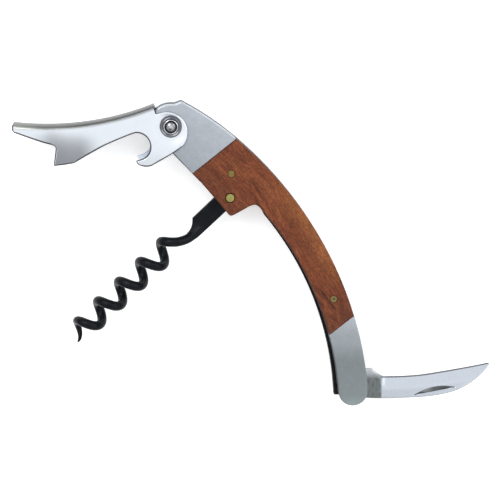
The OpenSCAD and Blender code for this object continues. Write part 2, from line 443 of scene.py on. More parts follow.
# ------------------------------------------------------------------ materials
class Mat:
    def __init__(self, name):
        self.m = bpy.data.materials.new(name)
        self.m.use_nodes = True
        self.t = self.m.node_tree
        self.t.nodes.clear()
        self.out = self.t.nodes.new("ShaderNodeOutputMaterial")
        self.b = self.t.nodes.new("ShaderNodeBsdfPrincipled")
        self.t.links.new(self.b.outputs[0], self.out.inputs[0])

    def n(self, kind, ins=None, **props):
        node = self.t.nodes.new("ShaderNode" + kind)
        for k, v in props.items():
            setattr(node, k, v)
        self.put(node, ins or {})
        return node

    def put(self, node, ins):
        for k, v in ins.items():
            s = node.inputs[k]
            if isinstance(v, bpy.types.NodeSocket):
                self.t.links.new(v, s)
            else:
                s.default_value = v

    def mm(self, rot=0.0, scale=(1, 1, 1), shift=(0, 0, 0)):
        """Object coordinates in mm about the worm's pivot, turned and scaled."""
        c = self.n("TexCoord")
        a = self.n("VectorMath", {0: c.outputs["Object"], 1: (-O.x, -O.y, -O.z)}, operation="ADD")
        b = self.n("VectorMath", {0: a.outputs[0], "Scale": 1000.0}, operation="SCALE")
        r = self.n("VectorRotate", {"Vector": b.outputs[0], "Angle": rot}, rotation_type="Z_AXIS")
        s = self.n("VectorMath", {0: r.outputs[0], 1: scale}, operation="MULTIPLY")
        t = self.n("VectorMath", {0: s.outputs[0], 1: shift}, operation="ADD")
        return t.outputs[0]

    def noise(self, vec, scale=1.0, detail=3.0, rough=0.55, distort=0.0):
        k = self.n("TexNoise", {"Vector": vec, "Scale": scale, "Detail": detail, "Roughness": rough, "Distortion": distort})
        return k.outputs["Fac"]

    def ramp(self, fac, stops, mode="LINEAR"):
        k = self.n("ValToRGB", {"Fac": fac})
        cr = k.color_ramp
        cr.interpolation = mode
        while len(cr.elements) < len(stops):
            cr.elements.new(0.5)
        for e, (p, c) in zip(cr.elements, stops):
            e.position = p
            e.color = (*c, 1) if len(c) == 3 else c
        return k.outputs["Color"]

    def remap(self, fac, a, b, c, d):
        k = self.n("MapRange", {"Value": fac, "From Min": a, "From Max": b, "To Min": c, "To Max": d})
        return k.outputs["Result"]

    def mix(self, fac, a, b, blend="MIX"):
        k = self.n("Mix", data_type="RGBA", blend_type=blend)
        for i, v in ((0, fac), (6, a), (7, b)):
            if isinstance(v, bpy.types.NodeSocket):
                self.t.links.new(v, k.inputs[i])
            elif i == 0:
                k.inputs[i].default_value = v
            else:
                k.inputs[i].default_value = (*v, 1)
        return k.outputs[2]

    def math(self, op, a, b=0.0, c=None):
        ins = {0: a, 1: b}
        if c is not None:
            ins[2] = c
        return self.n("Math", ins, operation=op).outputs[0]

    def bump(self, height, dist, strength=1.0, normal=None):
        ins = {"Height": height, "Distance": dist, "Strength": strength}
        if normal is not None:
            ins["Normal"] = normal
        return self.n("Bump", ins).outputs[0]


def steel(name, col, rough, brush_rot, var=0.05, rvar=0.05, bump=0.000006, mottle=0.05, tone=None, edge=0.6):
    """Brushed steel: fine lines along one direction, with a faint cloudy mottle and a fine grain."""
    m = Mat(name)
    lines = m.noise(m.mm(brush_rot, (0.35, 9.0, 3.0)), 1.0, 5.0, 0.65)
    fine = m.noise(m.mm(brush_rot, (1.2, 26.0, 9.0)), 1.0, 2.0, 0.5)
    cloud = m.noise(m.mm(0.4, (0.35, 0.35, 0.35)), 1.0, 4.0, 0.6)
    grain = m.noise(m.mm(0.2, (5, 5, 5)), 1.0, 3.0, 0.7)
    both = m.math("ADD", m.math("MULTIPLY", lines, 0.6), m.math("MULTIPLY", fine, 0.4))
    v = m.remap(both, 0.3, 0.7, 1 - var, 1 + var)
    w = m.remap(cloud, 0.3, 0.7, 1 - mottle, 1 + mottle)
    g = m.remap(grain, 0.3, 0.7, 1 - mottle * 0.6, 1 + mottle * 0.6)
    k = m.math("MULTIPLY", m.math("MULTIPLY", v, w), g)
    c = m.mix(1.0, col, m.n("CombineColor", {0: k, 1: k, 2: k}).outputs[0], "MULTIPLY")
    if tone:
        c = tone(m, c)
    m.put(m.b, {"Base Color": c, "Metallic": 1.0,
                "Roughness": m.remap(both, 0.25, 0.75, rough - rvar, rough + rvar),
                "Normal": m.bump(both, bump)})
    m.b.inputs["Specular Tint"].default_value = (edge, edge, edge, 1)
    return m


def gray(m, k):
    return m.n("CombineColor", {0: k, 1: k, 2: k}).outputs[0]


def rim_shade(m, c, amt, tint=(0.085, 0.088, 0.09)):
    """Painted shade: rims turned to the hollow side are painted darker than the ones along the back."""
    nrm = m.n("SeparateXYZ", {0: m.n("NewGeometry").outputs["Normal"]})
    low = m.math("ADD", m.math("MULTIPLY", nrm.outputs[1], -0.75), m.math("MULTIPLY", nrm.outputs[0], -0.66))
    return m.mix(m.math("MULTIPLY", m.remap(low, 0.20, 0.62, 0.0, 1.0), amt), c, tint)


def arc_coords(m, c, r):
    """Length along a ring of radius r about c, and distance from c, in mm."""
    q = m.n("SeparateXYZ", {0: m.n("VectorMath", {0: m.mm(), 1: (-c[0], -c[1], 0.0)}, operation="ADD").outputs[0]})
    along = m.math("MULTIPLY", m.math("ARCTAN2", q.outputs[1], q.outputs[0]), r)
    out = m.math("SQRT", m.math("ADD", m.math("MULTIPLY", q.outputs[0], q.outputs[0]), m.math("MULTIPLY", q.outputs[1], q.outputs[1])))
    return along, out, q.outputs[2]


def line_gap(m, line):
    a, b = np.array(line[0], float), np.array(line[1], float)
    d = (b - a) / np.hypot(*(b - a))
    q = m.n("VectorMath", {0: m.mm(), 1: (-a[0], -a[1], 0.0)}, operation="ADD").outputs[0]
    return m.math("ABSOLUTE", m.n("VectorMath", {0: q, 1: (-d[1], d[0], 0.0)}, operation="DOT_PRODUCT").outputs["Value"])


def wood(name):
    """A close reddish timber. Its grain follows a wide sweep along the handle, with open pores, darker streaks and a rippled figure."""
    m = Mat(name)
    al, out, z = arc_coords(m, (-157.6, -126.6), 219.0)
    warp = m.noise(m.mm(0, (0.05, 0.05, 0.05)), 1.0, 2.0, 0.5)
    out_w = m.math("ADD", out, m.remap(warp, 0.3, 0.7, -1.6, 1.6))
    base = m.n("CombineXYZ", {0: al, 1: out_w, 2: z}).outputs[0]

    def along(sx, sy, sz, off=(0, 0, 0)):
        q = m.n("VectorMath", {0: base, 1: (sx, sy, sz)}, operation="MULTIPLY").outputs[0]
        return m.n("VectorMath", {0: q, 1: off}, operation="ADD").outputs[0]

    bands = m.noise(along(0.030, 0.26, 0.26), 1.0, 4.0, 0.62)
    streak = m.noise(along(0.10, 1.05, 1.05, (3, 1, 0)), 1.0, 5.0, 0.66)
    fibre = m.noise(along(0.55, 3.2, 3.2, (0, 7, 2)), 1.0, 4.0, 0.7)
    speck = m.noise(along(1.5, 3.2, 3.2, (5, 2, 8)), 1.0, 3.0, 0.7)
    mottle = m.noise(along(0.17, 0.24, 0.24, (9, 4, 0)), 1.0, 3.0, 0.6)
    c = m.ramp(bands, [(0.28, (0.098, 0.0260, 0.0120)), (0.43, (0.138, 0.0370, 0.0155)), (0.57, (0.166, 0.0460, 0.0180)), (0.74, (0.222, 0.069, 0.0245))])
    c = m.mix(m.remap(streak, 0.52, 0.68, 0.0, 0.72), c, (0.060, 0.016, 0.009))
    c = m.mix(m.remap(streak, 0.46, 0.32, 0.0, 0.45), c, (0.250, 0.084, 0.032))
    # paler sapwood along the convex back, darker heart along the hollow side, and a shaded lower end
    l2, o2, _ = arc_coords(m, CO, RO)
    pale = m.math("MULTIPLY", m.remap(m.math("ADD", o2, m.remap(streak, 0.3, 0.7, -3.0, 3.0)), 123.0, 128.0, 0.0, 1.0),
                  m.math("MULTIPLY", m.remap(l2, 50.0, 62.0, 0.0, 1.0), m.remap(l2, 96.0, 84.0, 0.0, 1.0)))
    c = m.mix(m.math("MULTIPLY", pale, 0.50), c, (0.290, 0.108, 0.033))
    dark = m.remap(m.math("ADD", o2, m.remap(mottle, 0.3, 0.7, -2.0, 2.0)), 117.5, 112.5, 0.0, 1.0)
    c = m.mix(m.math("MULTIPLY", dark, 0.40), c, (0.085, 0.026, 0.014))
    c = m.mix(m.remap(line_gap(m, LJ), 9.5, 1.0, 0.0, 0.55), c, (0.085, 0.030, 0.017))
    k = m.math("MULTIPLY", m.remap(fibre, 0.30, 0.70, 0.58, 1.45), m.remap(mottle, 0.3, 0.7, 0.86, 1.12))
    k = m.math("MULTIPLY", k, m.remap(speck, 0.32, 0.68, 0.72, 1.30))
    c = m.mix(1.0, c, gray(m, k), "MULTIPLY")
    # rippled figure across the grain, strongest at the pivot end
    wave = m.n("TexWave", {"Vector": along(1.0, 0.16, 0.0), "Scale": 0.33, "Distortion": 5.0, "Detail": 3.0, "Detail Scale": 1.6}, wave_type="BANDS", bands_direction="X")
    where = m.math("MULTIPLY", m.remap(l2, 88.0, 108.0, 0.12, 1.0), m.remap(m.noise(m.mm(0, (0.14, 0.14, 0.14), (4, 4, 0)), 1.0, 2.0), 0.42, 0.58, 0.1, 1.0))
    rip = m.math("MULTIPLY", m.remap(wave.outputs["Fac"], 0.0, 0.45, 0.55, 0.0), where)
    c = m.mix(rip, c, (0.060, 0.018, 0.010))
    # open pores: short dark dashes along the grain
    pore = 0.0
    for sx, sy, keep_at, off in ((0.55, 2.7, 0.42, (1, 2, 3)), (0.9, 4.6, 0.35, (7, 5, 1))):
        vor = m.n("TexVoronoi", {"Vector": along(sx, sy, sy, off), "Scale": 1.0, "Randomness": 1.0}, feature="F1")
        keep = m.n("SeparateColor", {0: vor.outputs["Color"]}).outputs[0]
        one = m.math("MULTIPLY", m.remap(vor.outputs["Distance"], 0.30, 0.10, 0.0, 1.0), m.math("GREATER_THAN", keep, keep_at))
        pore = m.math("MAXIMUM", pore, one) if not isinstance(pore, float) else one
    c = m.mix(m.math("MULTIPLY", pore, 0.60), c, (0.028, 0.010, 0.007))
    # a few dark shakes
    for (x0, y0, ang, ln, w0, amt) in ((32.8, -35.1, -52.9, 5.0, 0.10, 0.92), (30.4, -36.6, -55.0, 2.8, 0.08, 0.7), (34.6, -41.5, -50.0, 2.6, 0.08, 0.6),
                                      (10.0, -3.0, -40.0, 2.0, 0.12, 0.5), (15.5, -9.5, -62.0, 3.0, 0.14, 0.4), (9.0, 4.5, -45.0, 4.0, 0.16, 0.35)):
        q = m.n("VectorMath", {0: m.mm(), 1: (-x0, -y0, 0.0)}, operation="ADD").outputs[0]
        q = m.n("VectorRotate", {"Vector": q, "Angle": -math.radians(ang)}, rotation_type="Z_AXIS").outputs[0]
        sx = m.n("SeparateXYZ", {0: q})
        wob = m.remap(m.noise(m.mm(0.3, (0.9, 0.9, 0.9)), 1.0, 3.0), 0.3, 0.7, -0.28, 0.28)
        dy = m.math("ABSOLUTE", m.math("ADD", sx.outputs[1], wob))
        dx = m.math("ABSOLUTE", sx.outputs[0])
        f = m.math("MULTIPLY", m.remap(dy, w0, w0 * 2.6, 1.0, 0.0), m.remap(dx, ln * 0.6, ln, 1.0, 0.0))
        c = m.mix(m.math("MULTIPLY", f, amt), c, (0.020, 0.008, 0.006))
    # painted shade along the joints with the bolsters, standing for the dark hairline gap
    c = m.mix(m.remap(line_gap(m, UJ), 0.42, 0.10, 0.0, 0.85), c, (0.030, 0.012, 0.009))
    c = m.mix(m.remap(line_gap(m, LJ), 0.26, 0.08, 0.0, 0.6), c, (0.040, 0.016, 0.012))
    # painted shade on the rims turned to the hollow side
    c = rim_shade(m, c, 0.75, (0.020, 0.010, 0.008))
    h = m.math("SUBTRACT", m.math("MULTIPLY", fibre, 0.4), pore)
    m.put(m.b, {"Base Color": c, "Roughness": m.remap(fibre, 0.3, 0.7, 0.44, 0.58), "Normal": m.bump(h, 0.00006, 0.6)})
    m.b.inputs["Specular IOR Level"].default_value = 0.16
    return m


def black_coat(name, col, rough, spec, grain=2.2, bump=0.00002):
    m = Mat(name)
    a = m.noise(m.mm(0, (grain, grain, grain)), 1.0, 4.0, 0.6)
    b = m.noise(m.mm(0, (0.25, 0.25, 0.25)), 1.0, 3.0, 0.6)
    c = m.mix(m.remap(b, 0.35, 0.7, 0.0, 1.0), col, tuple(x * 1.7 + 0.002 for x in col))
    m.put(m.b, {"Base Color": c, "Roughness": m.remap(a, 0.3, 0.7, rough - 0.05, rough + 0.07),
                "Normal": m.bump(a, bump, 0.5)})
    m.b.inputs["Specular IOR Level"].default_value = spec
    return m


def brass(name, col, rough, tone=None):
    m = Mat(name)
    a = m.noise(m.mm(0.5, (6, 1.2, 3)), 1.0, 3.0, 0.6)
    b = m.noise(m.mm(0, (0.8, 0.8, 0.8)), 1.0, 3.0, 0.6)
    c = m.mix(m.remap(b, 0.3, 0.7, 0.0, 1.0), col, tuple(x * y for x, y in zip(col, (0.72, 0.66, 0.55))))
    if tone:
        c = tone(m, c)
    m.put(m.b, {"Base Color": c, "Metallic": 1.0, "Roughness": m.remap(a, 0.3, 0.7, rough - 0.07, rough + 0.08),
                "Normal": m.bump(a, 0.00001, 0.6)})
    return m


def lower_bolster_painted_shade(m, c):
    """The lower bolster: painted reflection and shade along its length, bright by the scale, darker towards its end and
    a little lighter at the very end; fine pits; painted shade on the rims turned to the hollow side.
    """
    y = m.n("SeparateXYZ", {0: m.mm()}).outputs[1]
    k = m.ramp(m.remap(y, -73.0, -41.0, 0.0, 1.0),
               [(0.0, (0.88, 0.95, 0.90)), (0.14, (0.70, 0.74, 0.715)), (0.48, (0.66, 0.69, 0.67)), (0.75, (0.96, 0.97, 0.97)), (1.0, (1.24, 1.24, 1.26))], "EASE")
    pits = m.noise(m.mm(0.3, (1.6, 1.6, 1.6)), 1.0, 4.0, 0.7)
    c = m.mix(1.0, c, gray(m, m.remap(pits, 0.32, 0.68, 0.95, 1.05)), "MULTIPLY")
    return rim_shade(m, m.mix(1.0, c, k, "MULTIPLY"), 0.8)


def upper_bolster_painted_shade(m, c):
    x = m.n("SeparateXYZ", {0: m.mm(math.radians(38))}).outputs[1]
    # Painted shade: the face darkens towards the handle's hollow side; the pits are the steel's own texture, and the
    # hollow-side rims get painted shade.
    k = m.remap(x, -2.0, 16.0, 0.81, 1.06)
    pits = m.noise(m.mm(0.3, (1.6, 1.6, 1.6)), 1.0, 4.0, 0.7)
    k = m.math("MULTIPLY", k, m.remap(pits, 0.32, 0.68, 0.93, 1.06))
    return rim_shade(m, m.mix(1.0, c, gray(m, k), "MULTIPLY"), 0.85)


def nick_mask(m):
    q = m.n("VectorMath", {0: m.mm(), 1: (-NC[0], -NC[1], 0.0)}, operation="ADD").outputs[0]
    q = m.n("SeparateXYZ", {0: m.n("VectorRotate", {"Vector": q, "Angle": -NA}, rotation_type="Z_AXIS").outputs[0]})
    uu = m.math("DIVIDE", q.outputs[0], NL)
    w = m.math("MAXIMUM", m.math("SUBTRACT", 1.0, m.math("MULTIPLY", uu, uu)), 0.001)
    t = m.math("DIVIDE", m.math("SUBTRACT", q.outputs[1], m.math("MULTIPLY", w, 0.20)), m.math("MULTIPLY", w, 1.50))
    edge = m.math("MULTIPLY", m.remap(t, -0.06, 0.02, 0.0, 1.0), m.remap(t, 1.04, 0.94, 0.0, 1.0))
    edge = m.math("MULTIPLY", edge, m.math("GREATER_THAN", m.n("SeparateXYZ", {0: m.mm()}).outputs[2], 0.0))
    return m.math("MULTIPLY", edge, m.remap(m.math("ABSOLUTE", uu), 1.0, 0.98, 0.0, 1.0)), uu, t


def blade_finish_and_painted_shade(m, c):
    """The ground part is bright; the shoulder behind it is left dark, the nail nick carries painted shade and
    reflection, facets turned to the hollow side carry painted shade, and the edge has a fine dark bevel.
    """
    xyz = m.n("SeparateXYZ", {0: m.mm()})
    x, y = xyz.outputs[0], xyz.outputs[1]
    fc = m.n("FloatCurve", {"Value": m.remap(x, 53.0, 91.0, 0.0, 1.0)})
    cm = fc.mapping.curves[0]
    pts = [(53.0, 0.0), (60.0, 0.0), (66.0, 0.3), (73.0, 1.2), (80.0, 2.3), (86.0, 3.3), (91.0, 4.26)]
    while len(cm.points) < len(pts):
        cm.points.new(0.5, 0.5)
    for pt, (a, d) in zip(cm.points, pts):
        pt.location = ((a - 53.0) / 38.0, d / 5.0)
    fc.mapping.update()
    top_y = m.math("ADD", m.math("MULTIPLY", fc.outputs[0], 5.0), -64.3)
    below = m.math("SUBTRACT", top_y, y)
    hone = m.math("MULTIPLY", m.remap(below, 0.56, 0.42, 0.0, 1.0), m.remap(x, 52.4, 53.4, 0.0, 1.0))
    c = m.mix(m.math("MULTIPLY", hone, 0.92), c, (0.130, 0.136, 0.142))
    # Painted shade: facets tilted towards the hollow side are painted darker.
    nrm = m.n("SeparateXYZ", {0: m.n("NewGeometry").outputs["Normal"]})
    c = m.mix(m.math("MULTIPLY", m.remap(m.math("ABSOLUTE", nrm.outputs[2]), 0.965, 0.92, 0.0, 0.9), m.remap(nrm.outputs[1], 0.2, -0.2, 0.0, 1.0)), c, (0.10, 0.105, 0.11))
    # Painted shade and reflection in the nail nick: bands of light and dark along its length, and a darker strip along
    # its shallow side.
    f, uu, t = nick_mask(m)
    inner = m.ramp(m.remap(uu, -1.0, 1.0, 0.0, 1.0), [(0.0, (0.06, 0.062, 0.065)), (0.10, (0.07, 0.073, 0.076)), (0.30, (0.22, 0.228, 0.235)), (0.52, (0.105, 0.110, 0.114)),
                                                    (0.72, (0.085, 0.09, 0.094)), (0.92, (0.17, 0.175, 0.18)), (1.0, (0.40, 0.41, 0.43))], "EASE")
    inner = m.mix(m.remap(t, 0.80, 0.95, 0.0, 0.6), inner, (0.035, 0.036, 0.038))
    c = m.mix(f, c, inner)
    smear = m.noise(m.mm(0, (1.4, 0.5, 1)), 1.0, 4.0, 0.65)
    xs = m.math("ADD", x, m.remap(smear, 0.3, 0.7, -0.25, 0.25))
    g = m.remap(xs, 52.3, 53.0, 1.0, 0.0)
    dark = m.mix(m.remap(smear, 0.35, 0.65, 0.0, 1.0), (0.150, 0.165, 0.168), (0.225, 0.245, 0.248))
    dark = m.mix(m.remap(y, -64.8, -62.6, 0.0, 0.75), dark, (0.60, 0.63, 0.67))
    crease = m.math("MULTIPLY", m.remap(m.math("ABSOLUTE", m.math("ADD", m.math("ADD", y, 64.6), m.math("MULTIPLY", m.math("SUBTRACT", x, 50.0), 0.42))), 0.32, 0.05, 0.0, 1.0), m.remap(x, 49.6, 50.6, 0.0, 1.0))
    dark = m.mix(m.math("MULTIPLY", crease, 0.5), dark, (0.05, 0.055, 0.058))
    return m.mix(g, c, dark)


def lever_painted_reflection_and_shade(m, c):
    """Polished walls, with painted reflection and shade: the bent back is painted as a grey strip and the cut rims
    dark, standing for dark reflections, with a painted highlight round the ear, painted shade along the fold and a
    painted dark outline at the toe.
    """
    nrm = m.n("SeparateXYZ", {0: m.n("NewGeometry").outputs["Normal"]})
    nz = m.math("ABSOLUTE", nrm.outputs[2])
    xyz = m.n("SeparateXYZ", {0: m.mm()})
    x, y, z = xyz.outputs
    # Painted reflection: the back strip is painted light at the toe and darker towards the pivot, for the dark
    # surroundings it would mirror.
    back = m.ramp(m.remap(x, -71.0, -25.0, 0.0, 1.0), [(0.0, (0.58, 0.59, 0.56)), (0.09, (0.50, 0.52, 0.47)), (0.20, (0.27, 0.285, 0.27)), (0.50, (0.150, 0.154, 0.150)), (1.0, (0.120, 0.125, 0.130))])
    cloud = m.remap(m.noise(m.mm(0.1, (0.3, 1.0, 0.5)), 1.0, 3.0), 0.3, 0.7, 0.85, 1.15)
    back = m.mix(1.0, back, gray(m, cloud), "MULTIPLY")
    # Painted edge reflections: cut rims are painted near black, and the ear's rim round the rivet carries a painted
    # highlight.
    ey = m.math("ADD", y, -21.8)
    ex = m.math("ADD", x, 20.45)
    er = m.math("SQRT", m.math("ADD", m.math("MULTIPLY", ex, ex), m.math("MULTIPLY", ey, ey)))
    ear_rim_highlight = m.math("MULTIPLY", m.remap(m.math("ABSOLUTE", m.math("ADD", er, -6.75)), 0.45, 0.30, 0.0, 1.0), m.remap(m.math("ADD", ex, ey), -2.0, 0.0, 0.0, 1.0))
    painted_rim_tone = m.mix(ear_rim_highlight, (0.060, 0.062, 0.064), (0.70, 0.73, 0.78))
    # Rims inside the channel are painted mid grey.
    channel = m.remap(m.math("ABSOLUTE", z), 5.75, 5.60, 0.0, 1.0)
    painted_rim_tone = m.mix(channel, painted_rim_tone, (0.50, 0.52, 0.55))
    on_back = m.math("MULTIPLY", m.remap(m.math("SQRT", m.math("ADD", m.math("POWER", m.math("ADD", x, 59.0), 2.0), m.math("POWER", m.math("ADD", y, -117.6), 2.0))), 94.3 + 1.3, 94.3 + 1.0, 0.0, 1.0),
                     m.remap(x, -24.2, -24.5, 0.0, 1.0))
    on_back = m.math("MULTIPLY", on_back, m.remap(nrm.outputs[1], 0.2, 0.4, 0.0, 1.0))
    depth = m.math("ADD", m.math("SQRT", m.math("ADD", m.math("POWER", m.math("ADD", x, 59.0), 2.0), m.math("POWER", m.math("ADD", y, -117.6), 2.0))), -RB)
    bend = m.math("MULTIPLY", m.remap(depth, 0.60, 0.52, 0.0, 1.0), m.remap(x, -24.2, -24.5, 0.0, 1.0))
    rim = gray(m, m.math("MAXIMUM", bend, m.remap(nz, 0.965, 0.93, 0.0, 1.0)))
    tone = m.mix(m.math("MAXIMUM", bend, on_back), painted_rim_tone, back)
    # Painted shade on the wall face along the fold with the back, stronger towards the pivot end.
    painted_back_edge_shade = m.math("MULTIPLY", m.remap(depth, 0.55, 1.25, 0.48, 0.0), m.remap(x, -54.0, -30.0, 0.25, 1.0))
    c = m.mix(1.0, c, gray(m, m.math("SUBTRACT", 1.0, painted_back_edge_shade)), "MULTIPLY")
    out = m.mix(m.n("SeparateColor", {0: rim}).outputs[0], c, tone)
    # Painted dark outline along the end of the toe.
    end = m.math("SUBTRACT", x, m.math("ADD", TOE + 0.5, m.math("MULTIPLY", z, 0.5 / Z_WALL)))
    tip = m.math("MULTIPLY", m.remap(end, 0.48, 0.34, 0.0, 1.0), 0.95)
    return m.mix(tip, out, (0.055, 0.058, 0.056))


def painted_ring_reflections(rings):
    """Painted highlights and dark reflections in rings about the lever's rivet: (radius in mm, tone)."""
    def f(m, c):
        q = m.n("VectorMath", {0: m.mm(), 1: (-LV[0], -LV[1], 0.0)}, operation="ADD").outputs[0]
        q = m.n("VectorMath", {0: q, 1: (1, 1, 0)}, operation="MULTIPLY").outputs[0]
        r = m.n("VectorMath", {0: q}, operation="LENGTH").outputs["Value"]
        k = m.ramp(m.remap(r, 0.0, 4.0, 0.0, 1.0), [(a / 4.0, (v, v, v * 1.02)) for a, v in rings])
        return m.mix(1.0, c, k, "MULTIPLY")
    return f


def pin_hole_painted_shade(at, r0):
    # Painted shade inside the hollow end of a tube rivet.
    def f(m, c):
        q = m.n("VectorMath", {0: m.mm(), 1: (-at[0], -at[1], 0.0)}, operation="ADD").outputs[0]
        q = m.n("VectorMath", {0: q, 1: (1, 1, 0)}, operation="MULTIPLY").outputs[0]
        r = m.n("VectorMath", {0: q}, operation="LENGTH").outputs["Value"]
        return m.mix(m.remap(r, r0 + 0.12, r0 - 0.12, 0.0, 0.6), c, (0.10, 0.09, 0.06))
    return f


TOE = (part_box("lever")[0].x - O.x) / MM
NC, NA, NL = np.array([71.5, -69.9]), math.radians(10.0), 7.7
M_BOL = steel("satin_steel_bolster", (0.450, 0.482, 0.530), 0.36, math.radians(55), 0.06, 0.05, mottle=0.055, tone=upper_bolster_painted_shade, edge=1.0)
M_BOL_LOW = steel("satin_steel_lower_bolster", (0.395, 0.422, 0.452), 0.36, math.radians(76), 0.05, 0.05, mottle=0.04, tone=lower_bolster_painted_shade)
M_LINER = steel("liner_steel", (0.085, 0.090, 0.095), 0.36, 0.3, edge=0.25)
M_LEVER = steel("polished_steel_lever", (0.84, 0.88, 0.945), 0.17, math.radians(-6), 0.015, 0.03, 0.0000012, 0.012, tone=lever_painted_reflection_and_shade, edge=0.27)
M_BLADE = steel("satin_blade", (0.60, 0.645, 0.715), 0.27, math.radians(90), 0.05, 0.05, 0.000003, 0.012, tone=blade_finish_and_painted_shade)
# The rivet's dome and the dished washer carry painted highlights and painted dark reflections in rings.
M_RIVET = steel("rivet_steel", (0.62, 0.64, 0.67), 0.17, 0.0, 0.02, 0.03, 0.000001, 0.03, tone=painted_ring_reflections([(0.0, 1.0), (0.45, 0.85), (0.85, 0.42), (1.4, 0.24), (1.7, 0.14), (1.95, 0.07), (2.12, 0.25), (2.22, 1.3), (2.36, 1.1)]))
M_ROSE = steel("dished_washer_steel", (0.50, 0.52, 0.55), 0.20, 0.0, 0.02, 0.03, 0.000001, 0.03, tone=painted_ring_reflections([(2.3, 0.22), (2.5, 0.20), (3.0, 0.34), (3.3, 0.30), (3.5, 0.20)]))
M_WOOD = wood("reddish_hardwood")
# The backspring is coloured near black all over.
M_SPRING = black_coat("near_black_spring", (0.006, 0.006, 0.007), 0.38, 0.08)
M_WORM = black_coat("nonstick_black", (0.0038, 0.0045, 0.0064), 0.27, 0.10)
M_BRASS = brass("brass_bright", (0.41, 0.375, 0.135), 0.34)
M_BRASS2 = brass("brass_dull", (0.27, 0.21, 0.075), 0.45)
M_BRASS3 = brass("brass_tube", (0.27, 0.225, 0.10), 0.42, tone=pin_hole_painted_shade(LS, 0.5))
M_BRONZE = brass("bronze_washer", (0.50, 0.33, 0.17), 0.35)

# ------------------------------------------------------------------ handle
pieces = []


def piece(ob, body, slot, *nodes):
    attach(ob, body)
    if nodes:
        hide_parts(*nodes)
    pieces.append(ob)
    return ob


def bolster_rim(joint):
    def f(p):
        return 0.07 + 0.30 * smooth(off_line(p, joint), 0.15, 0.9)
    return f


def scale_rim(p):
    d = np.minimum(off_line(p, UJ), off_line(p, LJ))
    return 0.09 + 0.36 * smooth(d, 0.15, 1.0)


up = split_long(soften(upper_line, 0.25), 0.5)
lo = split_long(soften(lower_line, 0.22), 0.5)
sc = split_long(soften(scale_line, 0.30), 0.45)

GAP = 0.07    # the hairline between a scale and a bolster
holes_scale = [(0.0, 0.0, 1.66), (US[0], US[1], 1.16), (LS[0], LS[1], 1.27)]
b1 = plate("bolster_upper_front_skin", up, Z_LINER, Z_FACE, holes=[(LV[0], LV[1], 2.0)], r_top=bolster_rim(UJ), mat=M_BOL.m)
b2 = plate("bolster_lower_front_skin", lo, Z_LINER, Z_FACE, r_top=bolster_rim(LJ), mat=M_BOL_LOW.m)
s1 = plate("wood_scale_front_skin", inset(sc, GAP), Z_LINER, Z_FACE, holes=holes_scale, r_top=scale_rim, hole_r=0.14, mat=M_WOOD.m)
piece(b1, "handle", "bolster_steel", "upper_bolster_front")
piece(mirrored("bolster_upper_rear_skin", b1), "handle", "bolster_steel", "upper_bolster_rear")
piece(b2, "handle", "bolster_steel", "lower_bolster_front")
piece(mirrored("bolster_lower_rear_skin", b2), "handle", "bolster_steel", "lower_bolster_rear")
piece(s1, "handle", "wood", "scale_front")
piece(mirrored("wood_scale_rear_skin", s1), "handle", "wood", "scale_rear")

for node, mat in (("liner_front", M_LINER), ("liner_rear", M_LINER), ("backspring", M_SPRING)):
    ob = frame["nodes"][node]
    ob.data.materials.clear()
    ob.data.materials.append(mat.m)
    bev = ob.modifiers.new("rim", "BEVEL")
    bev.width = 0.00012
    bev.segments = 2
    bev.limit_method = "ANGLE"
    bev.angle_limit = math.radians(50)
for node in ("worm_washers", "blade_washers"):
    ob = frame["nodes"][node]
    ob.data.materials.clear()
    ob.data.materials.append(M_BRONZE.m)


def peened(r, h, crown, rim=0.12):
    """Half of a riveted pin: shank up to the face, then a shallow crown."""
    prof = [(0, 0), (r, 0), (r, h - rim)]
    for k in range(1, 4):
        a = k / 4 * math.pi / 2
        prof.append((r - rim * (1 - math.cos(a)), h - rim + rim * math.sin(a)))
    for k in range(1, 7):
        t = 1 - k / 6
        prof.append(((r - rim) * t, h + crown * (1 - t * t)))
    return prof


def through_pin(name, at, r, mat, slot, node, crown=-0.04, sink=0.06, hollow=0.0):
    z = Z_FACE - sink
    half = peened(r, z, crown)
    if hollow:
        half = [(0, 0), (r, 0), (r, z - 0.1), (r - 0.06, z), (r - 0.12, z + 0.02), (hollow + 0.14, z + 0.02), (hollow + 0.04, z - 0.05), (hollow, z - 0.35), (hollow * 0.5, z - 0.42), (0, z - 0.44)]
    low = [(q, -w) for q, w in half[::-1]]
    full = [p for p in low if p[1] < -1e-6] + [p for p in half if p[1] > 1e-6]
    ob = lathe(name, at, full[::-1], 1, 56, mat)
    return piece(ob, "handle", slot, node)


def short_pin(name, at, r, mat, slot, node, sign, hollow=0.0, sink=0.06):
    z = Z_FACE - sink
    prof = [(0, Z_CORE), (r, Z_CORE), (r, z - 0.1), (r - 0.05, z - 0.02), (r - 0.12, z)]
    if hollow:
        prof += [(hollow + 0.12, z), (hollow + 0.03, z - 0.06), (hollow, z - 0.3), (hollow * 0.5, z - 0.36), (0, z - 0.38)]
    else:
        prof += [(0, z)]
    ob = lathe(name, at, prof[::-1] if False else [(a, b) for a, b in prof][::-1], sign, 56, mat)
    return piece(ob, "handle", slot, node)


